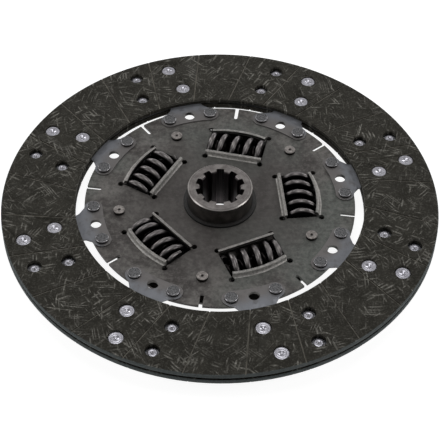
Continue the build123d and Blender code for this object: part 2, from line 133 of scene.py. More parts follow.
def finishMaterial(add, shader, values, look, colour):
    feed(shader, {"Base Color": colour})
    for socket, (name, *band) in look.get("driven", {}).items():
        feed(shader, {socket: shareOf(add, (values[name], *band))})
    if "bump" in look:
        name, distance, strength = look["bump"]
        relief = {"Height": values[name], "Distance": distance, "Strength": strength}
        feed(shader, {"Normal": add("Bump", relief)})


def makeMaterial(look):
    material, add, shader, values = newMaterial(look)
    finishMaterial(add, shader, values, look, coated(add, values, look["coats"]))
    return material


# Wound-yarn friction material: resin dark as slate, with the ground yarns showing as pale
# strokes that cross at about a right angle
facingLook = {
    "name": "woundYarnFriction",
    "shader": {"Roughness": 0.8, "Specular IOR Level": 0.2},
    "middleRadius": 129 * mm,
    "middleHeight": packMiddle,
    "noises": {
        "sway": (30 * mm, 1.0, 0.5, 0.0),
        "grit": (1.1 * mm, 3.0, 0.65, 0.0),
        "wear": (11 * mm, 3.0, 0.6, 0.0),
        "dust": (8 * mm, 3.0, 0.6, 0.0),
    },
    "resin": ("#25231d", ("#302e28", "wear", 0.38, 0.68), ("#605e58", "grit", 0.48, 0.72, 0.0, 0.45)),
    "yarn": ("#605e58", ("#93918a", "grit", 0.45, 0.7)),
    "swayReach": 6 * mm,
    "windingAngles": (49, -43, 14, -72),
    "yarnSpacing": (1.7 * mm, 1.8 * mm, 2.4 * mm, 2.4 * mm),
    "yarnLength": (30 * mm, 27 * mm, 16 * mm, 14 * mm),
    "cellShift": (7.3, 3.1),
    "strokeReach": (0.05, 0.23),
    "strokeEdge": 0.09,
    "strokeStrength": (0.1, 1.0),
    "patchShift": (0.31, 0.17),
    "patchSize": 14 * mm,
    "patchBand": (0.44, 0.62),
    "grooveDust": "#87837a",
    "grooveFloor": (3.5 * mm, 3.7 * mm),
    "grooveRim": (3.9 * mm, 4.1 * mm),
    "dustBand": (0.3, 0.6, 0.35, 1.0),
    "cutWall": "#5f6566",
    "wallRadius": (154.3 * mm, 154.8 * mm),
    "wallBand": (0.3, 0.6, 0.5, 1.0),
    "strokeRelief": 0.8,
    "bump": ("relief", 0.12 * mm, 0.6),
}


def yarnStrokes(add, unrolled, place, number):
    # one winding direction: long thin cells, each with a short stroke of yarn in it
    look = facingLook
    turn = math.radians(look["windingAngles"][number])
    turned = add("VectorRotate", {"Vector": unrolled, "Angle": turn}, rotation_type="Z_AXIS")
    cell = (1 / look["yarnLength"][number], 1 / look["yarnSpacing"][number], 1.0)
    scaled = add("VectorMath", (turned, cell), operation="MULTIPLY")
    # each direction has its own cells and its own patches
    cellShift, patchShift = ((x * number, y * number, 0) for x, y in (look["cellShift"], look["patchShift"]))
    shifted = add("VectorMath", (scaled, cellShift), operation="ADD")
    cells = add("TexVoronoi", {"Vector": shifted, "Scale": 1.0}, voronoi_dimensions="2D").node.outputs
    chances = add("SeparateColor", (cells["Color"],)).node.outputs
    reach = shareOf(add, (chances[0], 0.0, 1.0, *look["strokeReach"]))
    end = add("Math", (reach, look["strokeEdge"]), operation="ADD")
    stroke = add("MapRange", (cells["Distance"], reach, end, 1.0, 0.0))
    there = add("VectorMath", (place, patchShift), operation="ADD")
    patches = add("TexNoise", {"Vector": there, "Scale": 1 / look["patchSize"]})
    strength = shareOf(add, (patches, *look["patchBand"]), (chances[1], 0.0, 1.0, *look["strokeStrength"]))
    return add("Math", (stroke, strength), operation="MULTIPLY")


def makeFacingMaterial():
    look = facingLook
    material, add, shader, values = newMaterial(look)
    angle = add("Math", (values["y"], values["x"]), operation="ARCTAN2")
    around = add("Math", (angle, look["middleRadius"]), operation="MULTIPLY")
    swing = (look["swayReach"], look["swayReach"], 0)
    sway = add("VectorMath", (values["sway"].node.outputs["Color"], swing), operation="MULTIPLY")
    straight = add("CombineXYZ", (values["radius"], around))
    unrolled = add("VectorMath", (straight, sway), operation="ADD")
    strokes = yarnStrokes(add, unrolled, values["place"], 0)
    for number in range(1, len(look["windingAngles"])):
        others = yarnStrokes(add, unrolled, values["place"], number)
        strokes = add("Math", (strokes, others), operation="MAXIMUM")
    resin, yarn = coated(add, values, look["resin"]), coated(add, values, look["yarn"])
    woven = add("Mix", {0: strokes, 6: resin, 7: yarn}, 2, data_type="RGBA")
    # the pressed grooves hold pale grinding dust on their floors
    rim = (values["fromMiddle"], *look["grooveRim"], 1.0, 0.0)
    floor = (values["fromMiddle"], *look["grooveFloor"])
    grooved = paintOver(add, woven, look["grooveDust"], rim, floor, (values["dust"], *look["dustBand"]))
    # the turned outer wall keeps the blue-grey of the cut resin
    wall = (values["radius"], *look["wallRadius"])
    walled = paintOver(add, grooved, look["cutWall"], wall, (values["grit"], *look["wallBand"]))
    relief = (strokes, look["strokeRelief"], values["grit"])
    values["relief"] = add("Math", relief, operation="MULTIPLY_ADD")
    finishMaterial(add, shader, values, look, walled)
    return material


# Phosphated deep-drawing sheet: dark, slightly brown, with cloudy crystal patches and a low sheen
plateLook = {
    "name": "phosphatedSheetSteel",
    "shader": {"Metallic": 0.45},
    "noises": {
        "cloud": (22 * mm, 4.0, 0.6, 0.4),
        "tint": (2.3 * 22 * mm, 2.0, 0.5, 0.0),
        "mottle": (3.5 * mm, 4.0, 0.7, 0.0),
        "crystal": (1.6 * mm, 2.0, 0.6, 0.0),
    },
    "coats": (
        "#44403e",
        ("#6d6a67", "cloud", 0.36, 0.66),
        ("#5c5f5b", "tint", 0.45, 0.7),
        ("#2b2826", "mottle", 0.36, 0.52, 0.4, 0.0),
        ("#827f7b", "mottle", 0.5, 0.64, 0.0, 0.32),
        ("#827f7b", "crystal", 0.55, 0.85, 0.0, 0.5),
        # the ground tone comes back towards the middle, so the sheet is darker inwards
        ("#44403e", "radius", 44 * mm, 84 * mm, 0.6, 0.0),
    ),
    # the pale colour of the lips, lighter on upright walls than on level ones: painted light
    "bareAndPaintedLight": ("#c8c5c0", ("#b1aeaa", "levelness", 0.0, 0.6)),
    "lipsPartAt": (55 * mm, 58 * mm),
    "lipRoot": 21.5 * mm,
    "lipTip": 24.3 * mm,
    "outsideBand": (0.05, 0.4),
    "drawnRise": 0.3 * mm,
    "drawnShare": 0.9,
    "upwardBand": (0.3, 0.7),
    "shearedDepth": 0.1 * mm,
    "shearedShare": 0.6,
    "rootHighlight": (0.1 * mm, 0.4 * mm, 0.8 * mm),
    "rubbedBand": (0.35, 0.6, 0.55, 1.0),
    "driven": {"Roughness": ("cloud", 0.3, 0.7, 0.42, 0.6)},
    "bump": ("crystal", 0.03 * mm, 0.5),
}


def makeSheetMaterial():
    # the lips are rubbed bright outside, where the die drew them up, and at their sheared tips; part of this
    # is painted light: the pale colour is lighter on upright walls than on level ones, and a painted
    # highlight runs along each lip's root and its rounded tip edges
    look = plateLook
    material, add, shader, values = newMaterial(look)
    height, root, tip = values["height"], look["lipRoot"], look["lipTip"]
    normal = add("NewGeometry", output="Normal")
    upward = add("SeparateXYZ", (normal,), 2)
    values["levelness"] = add("Math", (upward,), operation="ABSOLUTE")
    unit = add("VectorMath", (values["flat"],), operation="NORMALIZE")
    outward = add("VectorMath", (normal, unit), "Value", operation="DOT_PRODUCT")
    side = shareOf(add, (values["radius"], *look["lipsPartAt"], -1.0, 1.0))
    outside = add("Math", (outward, side), operation="MULTIPLY")
    rise = (height, root, root + look["drawnRise"], 0.0, look["drawnShare"])
    drawn = shareOf(add, (outside, *look["outsideBand"]), rise)
    depth = look["shearedDepth"]
    end = (height, tip - depth, tip + depth, 0.0, look["shearedShare"])
    sheared = shareOf(add, (upward, *look["upwardBand"]), end)
    start, fade, gone = (root + above for above in look["rootHighlight"])
    # painted highlight: a thin pale line just above the lip's root
    line = shareOf(add, (height, root, start), (height, fade, gone, 1.0, 0.0))
    bareAndLitShare = add("Math", (add("Math", (drawn, sheared), operation="MAXIMUM"), line), operation="MAXIMUM")
    patchy = shareOf(add, (values["crystal"], *look["rubbedBand"]))
    paintedSheen = add("Math", (bareAndLitShare, patchy), operation="MULTIPLY")
    sheet, bareAndPaintedLight = coated(add, values, look["coats"]), coated(add, values, look["bareAndPaintedLight"])
    colour = add("Mix", {0: paintedSheen, 6: sheet, 7: bareAndPaintedLight}, 2, data_type="RGBA")
    finishMaterial(add, shader, values, look, colour)
    return material


# Riveted steel pins: the die left their ends pale, and their sides are painted near black as shade
pinLook = {
    "name": "rivetedPinSteel",
    "shader": {"Metallic": 0.6, "Roughness": 0.42},
    "middleHeight": damperMiddle,
    "noises": {"cloud": (2.2 * mm, 3.0, 0.6, 0.0)},
    "coats": (
        "#787370",
        ("#a39d99", "cloud", 0.35, 0.7),
        # painted shade: near black on the sides below the head's rounded edge
        ("#191615", "fromMiddle", 9.3 * mm, 9.95 * mm, 1.0, 0.0),
    ),
    "bump": ("cloud", 0.05 * mm, 0.5),
}

# Tempered strip steel: blue-grey oxide, paler and bluer from about the neck outwards
segmentLook = {
    "name": "temperedStripSteel",
    "shader": {"Metallic": 0.75},
    "noises": {
        "waver": (9 * mm, 2.0, 0.5, 0.0),
        "cloud": (7 * mm, 3.0, 0.6, 0.0),
        "rollingLine": (0.5 * mm, 2.0, 0.5, 0.0),
    },
    "waver": (0.2, 0.8, -2.5 * mm, 2.5 * mm),
    "coats": (
        "#73706f",
        ("#7a7c81", "heatReach", 88 * mm, 98 * mm),
        ("#5f5c5a", "cloud", 0.5, 0.75, 0.0, 0.6),
    ),
    "driven": {"Roughness": ("cloud", 0.3, 0.7, 0.38, 0.55)},
    "bump": ("rollingLine", 0.02 * mm, 0.4),
}


def makeSegmentMaterial():
    material, add, shader, values = newMaterial(segmentLook)
    waver = shareOf(add, (values["waver"], *segmentLook["waver"]))
    values["heatReach"] = add("Math", (values["radius"], waver), operation="ADD")
    finishMaterial(add, shader, values, segmentLook, coated(add, values, segmentLook["coats"]))
    return material


# Zinc-plated mild steel: pale violet grey, satin, a little scuffed, and near white and less metallic
# near the middle of the pack, on the rolled ends
facingRivetLook = {
    "name": "zincPlatedSteel",
    "shader": {},
    "middleHeight": packMiddle,
    "noises": {"scuff": (1.3 * mm, 3.0, 0.6, 0.0)},
    "coats": (
        "#b4b3bb",
        ("#c6c5cd", "scuff", 0.35, 0.7),
        ("#f2f1f4", "fromMiddle", 1.25 * mm, 1.5 * mm, 1.0, 0.0),
    ),
    "driven": {
        "Metallic": ("fromMiddle", 1.25 * mm, 1.5 * mm, 0.15, 0.75),
        "Roughness": ("scuff", 0.3, 0.7, 0.28, 0.34),
    },
}

# Cold-headed rivet steel with an oiled finish: mottled grey top, a pale band on the rounded edge as a
# painted highlight, and painted shade, near black, low on the sides of each head
segmentRivetLook = {
    "name": "oiledRivetSteel",
    "shader": {"Metallic": 0.8},
    "middleHeight": 20.8 * mm,
    "noises": {"pits": (1.1 * mm, 3.0, 0.65, 0.0)},
    "coats": (
        "#585859",
        ("#757577", "pits", 0.35, 0.7),
        # painted highlight on the rounded edge
        ("#b6b4b7", "fromMiddle", 3.15 * mm, 3.3 * mm, 1.0, 0.0),
        # painted shade low on the sides of the head
        ("#171514", "fromMiddle", 2.2 * mm, 2.75 * mm, 1.0, 0.0),
    ),
    "driven": {"Roughness": ("pits", 0.3, 0.7, 0.24, 0.4)},
    "bump": ("pits", 0.03 * mm, 0.5),
}

# Turned and phosphated hub forging: brown grey, faint turning rings on the end face
hubLook = {
    "name": "turnedForging",
    "shader": {"Metallic": 0.65},
    "noises": {"cloud": (6 * mm, 4.0, 0.6, 0.0)},
    "ringSpacing": 0.6 * mm,
    "streaksPerRadian": 16.0,
    "endFace": ("#676260", ("#8b8684", "cloud", 0.35, 0.7), ("#a5a09c", "rings", 0.45, 0.75, 0.0, 0.35)),
    "barrel": ("#423f3c", ("#5c5754", "cloud", 0.35, 0.7)),
    # the bore's colour is painted shade, near black
    "paintedShadeBore": ("#1b1818", ("#463e40", "streaks", 0.4, 0.65)),
    # painted highlight on the front edge
    "paintedEdgeHighlight": "#b9b4b0",
    "faceHeight": (35.4 * mm, 35.9 * mm),
    "boreRadius": (17.7 * mm, 18.2 * mm),
    "boreHeight": (36.0 * mm, 36.3 * mm),
    "edgeRadius": (22.1 * mm, 22.4 * mm),
    "edgeHeight": (35.6 * mm, 35.8 * mm),
    "driven": {"Roughness": ("cloud", 0.3, 0.7, 0.32, 0.46)},
    "bump": ("rings", 0.03 * mm, 0.5),
}


def makeHubMaterial():
    look = hubLook
    material, add, shader, values = newMaterial(look)
    radius, height = values["radius"], values["height"]
    outwards = add("Math", (radius, 1 / look["ringSpacing"]), operation="MULTIPLY")
    values["rings"] = add("TexNoise", {"W": outwards, "Scale": 1.0, "Detail": 2.0}, noise_dimensions="1D")
    angle = add("Math", (values["y"], values["x"]), operation="ARCTAN2")
    around = add("Math", (angle, look["streaksPerRadian"]), operation="MULTIPLY")
    values["streaks"] = add("TexNoise", {"W": around, "Scale": 1.0}, noise_dimensions="1D")
    endFace, barrel, paintedShadeBore = (coated(add, values, look[part]) for part in ("endFace", "barrel", "paintedShadeBore"))
    # only the end face is turned bright; the barrel and the splines keep their dark phosphate
    finished = paintOver(add, barrel, endFace, (height, *look["faceHeight"]))
    # the broached bore is painted near black as shade, with lighter streaks around it along its splines
    inBore = (radius, *look["boreRadius"], 1.0, 0.0)
    broached = paintOver(add, finished, paintedShadeBore, inBore, (height, *look["boreHeight"], 1.0, 0.0))
    # the front edge carries a painted highlight, pale all round
    atEdge = (radius, *look["edgeRadius"])
    colour = paintOver(add, broached, look["paintedEdgeHighlight"], atEdge, (height, *look["edgeHeight"]))
    finishMaterial(add, shader, values, look, colour)
    return material


# Black-oxided spring wire: a painted grey sheen along the crown of each coil, and painted shade, near black,
# between the coils
springLooks = {
    "outer": {
        "name": "blackOxidedWire",
        "shader": {"Metallic": 0.95, "Roughness": 0.36},
        "paintedSheen": ("#6f6b6b", ("#7d7977", "oxide", 0.4, 0.75)),
    },
    # the inner springs are a darker copy of the same wire: painted shade from the outer coils
    "inner": {
        "name": "blackOxidedInnerWireInPaintedShade",
        "shader": {"Metallic": 0.95, "Roughness": 0.35},
        "paintedSheen": ("#201d1d", ("#2a2726", "oxide", 0.4, 0.75)),
    },
}
wireLook = {"noises": {"oxide": (4 * mm, 3.0, 0.6, 0.0)}, "paintedShade": "#171516", "crown": (0.52, 0.92)}


def makeSpringMaterial(look):
    material, add, shader, values = newMaterial({**wireLook, **look})
    upward = add("SeparateXYZ", (add("NewGeometry", output="Normal"),), 2)
    upright = add("Math", (upward,), operation="ABSOLUTE")
    # painted light: the wire is lighter where its normal points up or down, as a painted sheen, and near
    # black on its sides as painted shade
    paintedSheen = coated(add, values, look["paintedSheen"])
    colour = paintOver(add, wireLook["paintedShade"], paintedSheen, (upright, *wireLook["crown"]))
    finishMaterial(add, shader, values, look, colour)
    return material


# Moulded glass-filled polymer of the friction bush and ring, with painted shade, near black, along their
# inner and outer rims
bushLook = {
    "name": "mouldedFrictionPolymer",
    "shader": {"Roughness": 0.6},
    "noises": {"fleck": (1.2 * mm, 3.0, 0.6, 0.0)},
    "coats": (
        "#161413",
        ("#2e2a28", "fleck", 0.4, 0.75),
        # painted shade along the outer and inner rims
        ("#0a0909", "radius", 25.2 * mm, 25.5 * mm),
        ("#0a0909", "radius", 23.4 * mm, 23.8 * mm, 1.0, 0.0),
    ),
    "bump": ("fleck", 0.04 * mm, 0.5),
}

facingMaterial = makeFacingMaterial()
plateMaterial = makeSheetMaterial()
pinMaterial = makeMaterial(pinLook)
segmentMaterial = makeSegmentMaterial()
facingRivetMaterial = makeMaterial(facingRivetLook)
segmentRivetMaterial = makeMaterial(segmentRivetLook)
hubMaterial = makeHubMaterial()
springMaterials = {kind: makeSpringMaterial(look) for kind, look in springLooks.items()}
bushMaterial = makeMaterial(bushLook)
print("materials made")


def smoothed(mesh, sharpAngle=32):
    for polygon in mesh.polygons:
        polygon.use_smooth = True
    mesh.set_sharp_from_angle(angle=math.radians(sharpAngle))
    return mesh


def makePiece(name, mesh, material, node):
    # a finished mesh becomes the piece that stands for its CAD node
    mesh.materials.clear()
    mesh.materials.append(material)
    piece = bpy.data.objects.new(name, mesh)
    bpy.context.scene.collection.objects.link(piece)
    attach(piece, "hub_body" if node == "hub" else "disc")
    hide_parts(node)
    return piece


def mergedCopy(node):
    # the CAD node's triangles joined up, with flat faces made whole again
    work = bmesh.new()
    work.from_mesh(nodes[node].data)
    bmesh.ops.remove_doubles(work, verts=work.verts, dist=0.002 * mm)
    flatWithin = math.radians(0.2)
    bmesh.ops.dissolve_limit(
        work, angle_limit=flatWithin, verts=work.verts, edges=work.edges, delimit={"NORMAL"}
    )
    mesh = bpy.data.meshes.new(node + "_merged")
    work.to_mesh(mesh)
    work.free()
    return mesh


def evaluated(mesh, addModifiers):
    # runs modifiers on a mesh and returns the plain result
    carrier = bpy.data.objects.new("carrier", mesh)
    bpy.context.scene.collection.objects.link(carrier)
    addModifiers(carrier)
    graph = bpy.context.evaluated_depsgraph_get()
    made = bpy.data.meshes.new_from_object(carrier.evaluated_get(graph))
    carrier.modifiers.clear()
    bpy.data.objects.remove(carrier)
    return made


# The sheared tips of the window lips: each plate's height past which its edges belong to a tip,
# and the side on which they lie
lipTips = {"drive_plate": (24.9 * mm, 1), "cover_plate": (2.3 * mm, -1)}
lipShoulder = {
    "width": 1.1 * mm,
    "segments": 4,
    "sharpAngle": 40,
    "straightLength": 25 * mm,
    "roundWithin": 0.2 * mm,
}


def shouldersRounded(mesh, tipHeight, side):
    # the corners along each tip are drawn round: one long edge on a straight lip, and short edges
    # of one radius on a curved lip
    work = bmesh.new()
    work.from_mesh(mesh)
    picked = []
    for edge in work.edges:
        atTip = all(side * (v.co.z - tipHeight) > 0 for v in edge.verts)
        if not atTip or edge.calc_face_angle(0) <= math.radians(lipShoulder["sharpAngle"]):
            continue
        inner, outer = sorted(v.co.xy.length for v in edge.verts)
        if edge.calc_length() > lipShoulder["straightLength"] or outer - inner < lipShoulder["roundWithin"]:
            picked.append(edge)
    bmesh.ops.bevel(
        work,
        geom=picked,
        offset=lipShoulder["width"],
        segments=lipShoulder["segments"],
        profile=0.5,
        affect="EDGES",
        clamp_overlap=True,
    )
    work.to_mesh(mesh)
    work.free()
    print("lip shoulders rounded:", len(picked))
    return mesh


def edgesBroken(mesh, width, segments=2, angle=35):
    def addBevel(carrier):
        bevel = carrier.modifiers.new("brokenEdges", "BEVEL")
        bevel.width = width
        bevel.segments = segments
        bevel.limit_method = "ANGLE"
        bevel.angle_limit = math.radians(angle)
        bevel.harden_normals = True
        weighted = carrier.modifiers.new("flatFacesKept", "WEIGHTED_NORMAL")
        weighted.keep_sharp = True
        weighted.weight = 100

    return evaluated(smoothed(mesh), addBevel)


# Pieces whose CAD form is right: node, material, slot, and the width by which a press or a file
# broke their sharp edges
cadPieces = {
    "frontFacing": ("front_facing", facingMaterial, "facing", 0.0),
    "rearFacing": ("rear_facing", facingMaterial, "facing", 0.0),
    "drivePlate": ("drive_plate", plateMaterial, "plate", 0.25 * mm),
    "coverPlate": ("cover_plate", plateMaterial, "plate", 0.25 * mm),
    "splinedHub": ("hub", hubMaterial, "hub_steel", 0.2 * mm),
    "frictionBush": ("friction_bush", bushMaterial, "friction_polymer", 0.2 * mm),
    "rearFrictionRing": ("rear_friction_ring", bushMaterial, "friction_polymer", 0.0),
    "supportRing": ("support_ring", plateMaterial, "washer_steel", 0.0),
    "discSpring": ("disc_spring", plateMaterial, "washer_steel", 0.0),
}
for number in range(1, segments + 1):
    segment = (f"cushion_segment_{number}", segmentMaterial, "segment_steel", 0.12 * mm)
    cadPieces[f"cushionSegment{number}"] = segment
for name, (node, material, slot, width) in cadPieces.items():
    mesh = mergedCopy(node)
    if node in lipTips:
        mesh = shouldersRounded(mesh, *lipTips[node])
    mesh = edgesBroken(mesh, width) if width else smoothed(mesh)
    makePiece(name, mesh, material, node)
print("sheet pieces made")


def lathe(profile, steps):
    # a closed solid of revolution about Z from (radius, height) points in millimetres
    work = bmesh.new()
    rings = []
    for radius, height in profile:
        turns = [2 * math.pi * i / steps for i in range(steps if radius else 1)]
        places = [(radius * mm * math.cos(turn), radius * mm * math.sin(turn), height * mm) for turn in turns]
        rings.append([work.verts.new(place) for place in places])
    for upper, lower in zip(rings, rings[1:]):
        for i in range(steps):
            order = ((upper, i), (lower, i), (lower, i + 1), (upper, i + 1))
            # a ring of one point makes triangles
            corners = list(dict.fromkeys(ring[j % len(ring)] for ring, j in order))
            if len(corners) > 2:
                work.faces.new(corners)
    bmesh.ops.recalc_face_normals(work, faces=work.faces)
    mesh = bpy.data.meshes.new("turned")
    work.to_mesh(mesh)
    work.free()
    return smoothed(mesh)


def arcPoints(centre, radius, fromAngle, toAngle, count=6):
    angles = [math.radians(fromAngle + (toAngle - fromAngle) * i / count) for i in range(count + 1)]
    return [(centre[0] + radius * math.cos(a), centre[1] + radius * math.sin(a)) for a in angles]


def shiftedPoints(points, height):
    return [(radius, height + above) for radius, above in points]


def withMirror(upper, middle):
    # the far end of a rivet or a pin has the same form as its near end
    return upper + [(radius, 2 * middle - height) for radius, height in reversed(upper)]


def newGeometryTree(name, sockets):
    # a node group with named inputs; returns it with its function that adds nodes and its inputs
    tree = bpy.data.node_groups.new(name, "GeometryNodeTree")
    tree.interface.new_socket("Geometry", in_out="OUTPUT", socket_type="NodeSocketGeometry")
    for socket, kind in (("Geometry", "Geometry"), *sockets.items(), ("Material", "Material")):
        tree.interface.new_socket(socket, in_out="INPUT", socket_type="NodeSocket" + kind)
    add = partial(addNode, tree)
    return tree, add, add("NodeGroupInput").node.outputs


def finishGeometryTree(add, geometry, material):
    real = add("GeometryNodeRealizeInstances", (geometry,))
    done = add("GeometryNodeSetMaterial", {"Geometry": real, "Material": material})
    add("NodeGroupOutput", (done,))


def throughTree(mesh, tree, settings):
    # runs a geometry tree on a mesh, with the tree's inputs set by their identifiers
    def addTree(carrier):
        modifier = carrier.modifiers.new(tree.name, "NODES")
        modifier.node_group = tree
        for item in tree.interface.items_tree:
            if item.in_out == "INPUT" and item.name in settings:
                modifier[item.identifier] = settings[item.name]

    return evaluated(mesh, addTree)


def makeRivetTree():
    # puts the incoming rivet on two circles of places, each a little tilted and grown by chance
    sockets = {
        "Count": "Int",
        "Circle A Radius": "Float",
        "Circle A Angle": "Float",
        "Circle B Radius": "Float",
        "Circle B Angle": "Float",
        "Tilt": "Float",
        "Growth": "Float",
        "Seed": "Int",
    }
    tree, add, given = newGeometryTree("rivetCircles", sockets)
    places = add("GeometryNodeJoinGeometry")
    for letter in "AB":
        size = {"Vertices": given["Count"], "Radius": given[f"Circle {letter} Radius"]}
        circle = add("GeometryNodeMeshCircle", size)
        turn = add("CombineXYZ", {"Z": given[f"Circle {letter} Angle"]})
        turned = add("GeometryNodeTransform", {"Geometry": circle, "Rotation": turn})
        feed(places.node, (turned,))
    tilt, growth, seed = given["Tilt"], given["Growth"], given["Seed"]
    back = add("Math", (tilt, -1.0), operation="MULTIPLY")
    lowest, highest = add("CombineXYZ", (back, back, 0.0)), add("CombineXYZ", (tilt, tilt, 2 * math.pi))
    chances = {"Min": lowest, "Max": highest, "Seed": seed}
    spin = add("FunctionNodeRandomValue", chances, data_type="FLOAT_VECTOR")
    grown = add("Math", (1.0, growth), operation="ADD")
    shrunk = add("Math", (1.0, growth), operation="SUBTRACT")
    size = add("FunctionNodeRandomValue", {"Seed": seed, 2: shrunk, 3: grown}, 1, data_type="FLOAT")
    scale = add("CombineXYZ", (size, size, 1.0))
    settings = {"Points": places, "Instance": given["Geometry"], "Rotation": spin, "Scale": scale}
    placed = add("GeometryNodeInstanceOnPoints", settings)
    finishGeometryTree(add, placed, given["Material"])
    return tree


rivetTree = makeRivetTree()
rivetSteps = 36

# Tubular facing rivets: the dished head sits in its own facing, the rolled end in the other.
# The points are radii and heights in millimetres, from the head's top or from the rolled end.
facingRivet = {
    "outerCircle": 141.8 * mm,
    "innerCircle": 119.1 * mm,
    "outerAngle": 5.33,
    "innerAngle": 7.91,
    "headTop": 23.7,
    "headThick": 0.9,
    "headRadius": 5.4,
    "dish": ((0, -0.85), (0.3, -0.84), (0.8, -0.72), (1.4, -0.5), (2.0, -0.2), (2.35, -0.05)),
    "collar": ((2.7, 0), (3.2, -0.02), (3.5, -0.12), (3.7, -0.12), (4.0, -0.05), (4.3, -0.04)),
    "edgeRadius": 0.7,
    "edgeDrop": 0.75,
    "shankRadius": 2.5,
    "rollSeat": 3.3,
    "rollTop": 20.5,
    "rollHeight": 2.0,
    "rollRadius": 1.6,
    "rollCentre": 2.55,
    "rolledLip": ((1.8, 0.03), (1.2, 0.15), (0.8, 0.45), (0.65, 1.5), (0.65, 3.0), (0, 3.0)),
}


def facingRivetProfile():
    look = facingRivet
    top, head, edge = look["headTop"], look["headRadius"], look["edgeRadius"]
    back, roll, shank = top - look["headThick"], look["rollTop"], look["shankRadius"]
    end = roll - look["rollHeight"]
    front = shiftedPoints(look["dish"] + look["collar"], top)
    rim = arcPoints((head - edge, top - look["edgeDrop"]), edge, 90, 0)
    side = [(head, back), (shank, back), (shank, roll), (look["rollSeat"], roll)]
    rolled = arcPoints((look["rollCentre"], end + look["rollRadius"]), look["rollRadius"], 50, -90, 10)
    return front + rim + side + rolled + shiftedPoints(look["rolledLip"], end)


frontRivets = throughTree(
    lathe(facingRivetProfile(), rivetSteps),
    rivetTree,
    {
        "Count": segments,
        "Circle A Radius": facingRivet["outerCircle"],
        "Circle A Angle": math.radians(wingAngle - facingRivet["outerAngle"]),
        "Circle B Radius": facingRivet["innerCircle"],
        "Circle B Angle": math.radians(wingAngle - facingRivet["innerAngle"]),
        "Tilt": 0.0004,
        "Growth": 0.012,
        "Seed": 4,
        "Material": facingRivetMaterial,
    },
)
# the rear set is the front set turned over about a line through the middle of a wing
turnLine = Matrix.Rotation(math.radians(wingAngle), 3, "Z") @ Vector((1, 0, 0))
toMiddle = Matrix.Translation((0, 0, packMiddle))
rearRivets = frontRivets.copy()
rearRivets.transform(toMiddle @ Matrix.Rotation(math.pi, 4, turnLine) @ toMiddle.inverted())
makePiece("frontFacingRivets", frontRivets, facingRivetMaterial, "front_facing_rivets")
makePiece("rearFacingRivets", rearRivets, facingRivetMaterial, "rear_facing_rivets")

# Segment rivets: low round-edged heads, one pair to a foot
segmentRivet = {
    "circle": 90 * mm,
    "spread": 9.9,
    "footTop": 22.2,
    "plateBack": 19.4,
    "headRadius": 4.6,
    "headHeight": 2.0,
    "crown": ((0, 0), (1.6, -0.01), (3.0, -0.04)),
    "edgeRadius": 0.75,
    "edgeDrop": 0.8,
    "shankRadius": 3.0,
}


def segmentRivetProfile():
    look = segmentRivet
    radius, edge, seat = look["headRadius"], look["edgeRadius"], look["footTop"]
    top = seat + look["headHeight"]
    rim = arcPoints((radius - edge, top - look["edgeDrop"]), edge, 80, 0)
    upper = shiftedPoints(look["crown"], top) + rim + [(radius, seat), (look["shankRadius"], seat)]
    return withMirror(upper, (seat + look["plateBack"]) / 2)


segmentRivets = throughTree(
    lathe(segmentRivetProfile(), rivetSteps),
    rivetTree,
    {
        "Count": segments,
        "Circle A Radius": segmentRivet["circle"],
        "Circle A Angle": math.radians(footAngle - segmentRivet["spread"]),
        "Circle B Radius": segmentRivet["circle"],
        "Circle B Angle": math.radians(footAngle + segmentRivet["spread"]),
        "Tilt": 0.0002,
        "Growth": 0.01,
        "Seed": 9,
        "Material": segmentRivetMaterial,
    },
)
makePiece("segmentRivets", segmentRivets, segmentRivetMaterial, "segment_rivets")

# Stop pins, one between each two windows: riveted over at both ends, with the punch's centre mark
stopPin = {
    "circle": 72.1 * mm,
    "firstAngle": windowAngle + damperStep / 2 + 2.75,
    "front": 21.4,
    "plateBack": 19.4,
    "coverBack": 5.8,
    "bodyRadius": 5.5,
    "neckRadius": 3.1,
    "headRadius": 4.0,
    "headHeight": 2.5,
    "dimple": ((0, -1.0), (0.7, -0.95), (1.05, -0.35), (1.2, -0.1), (1.35, 0), (2.6, 0)),
    "edgeRadius": 0.45,
    "edgeDrop": 0.5,
    "undercut": (0.12, 0.1),
    "steps": 40,
}


def stopPinProfile():
    look = stopPin
    front, back, radius, edge = look["front"], look["plateBack"], look["headRadius"], look["edgeRadius"]
    top = front + look["headHeight"]
    inset, lift = look["undercut"]
    rim = arcPoints((radius - edge, top - look["edgeDrop"]), edge, 80, 0)
    seat = [(radius, front + lift), (radius - inset, front)]
    body = [(look["neckRadius"], front), (look["neckRadius"], back), (look["bodyRadius"], back)]
    upper = shiftedPoints(look["dimple"], top) + rim + seat + body
    return withMirror(upper, (front + look["coverBack"]) / 2)


pinMesh = lathe(stopPinProfile(), stopPin["steps"])
for number in range(dampers):
    placed = pinMesh.copy()
    turn = Matrix.Rotation(math.radians(stopPin["firstAngle"] + damperStep * number), 4, "Z")
    placed.transform(turn @ Matrix.Translation((stopPin["circle"], 0, 0)))
    makePiece(f"stopPin{number + 1}", placed, pinMaterial, f"stop_pin_{number + 1}")
print("rivets and pins made")

# Damper springs: round wire coils whose end turns close up and are ground square. The outer ones
# lie each at its own turn about its axis, and the inner ones are wound the other way.
damperSprings = {
    "outer": {
        "coil": 13.3 * mm,
        "wire": 2.5 * mm,
        "endShrink": 0.1,  # the end turns are wound smaller, clear of the round lips
        # window by window: turns from the end to the crown, turns, pitch in millimetres, and
        # closed turns at each end
        "windings": (
            (0.52, 4.9, 9.5, 0.7),
            (0.46, 4.9, 9.5, 0.7),
            (0.09, 5.25, 8.95, 0.8),
            (0.85, 5.2, 8.95, 0.8),
            (0.07, 5.3, 8.6, 0.85),
        ),
        "hand": 1,
        "stepsPerTurn": 64,
        "ringSteps": 28,
    },
    "inner": {
        "coil": 7.8 * mm,
        "wire": 1.6 * mm,
        "endShrink": 0.0,
        "windings": tuple((first, 7.8, 5.6, 0.75) for first in (0.1, 0.35, 0.6, 0.2, 0.8)),
        "hand": -1,
        "stepsPerTurn": 40,
        "ringSteps": 16,
    },
}
springPlace = {"circle": 57.35 * mm, "length": 41.9 * mm}


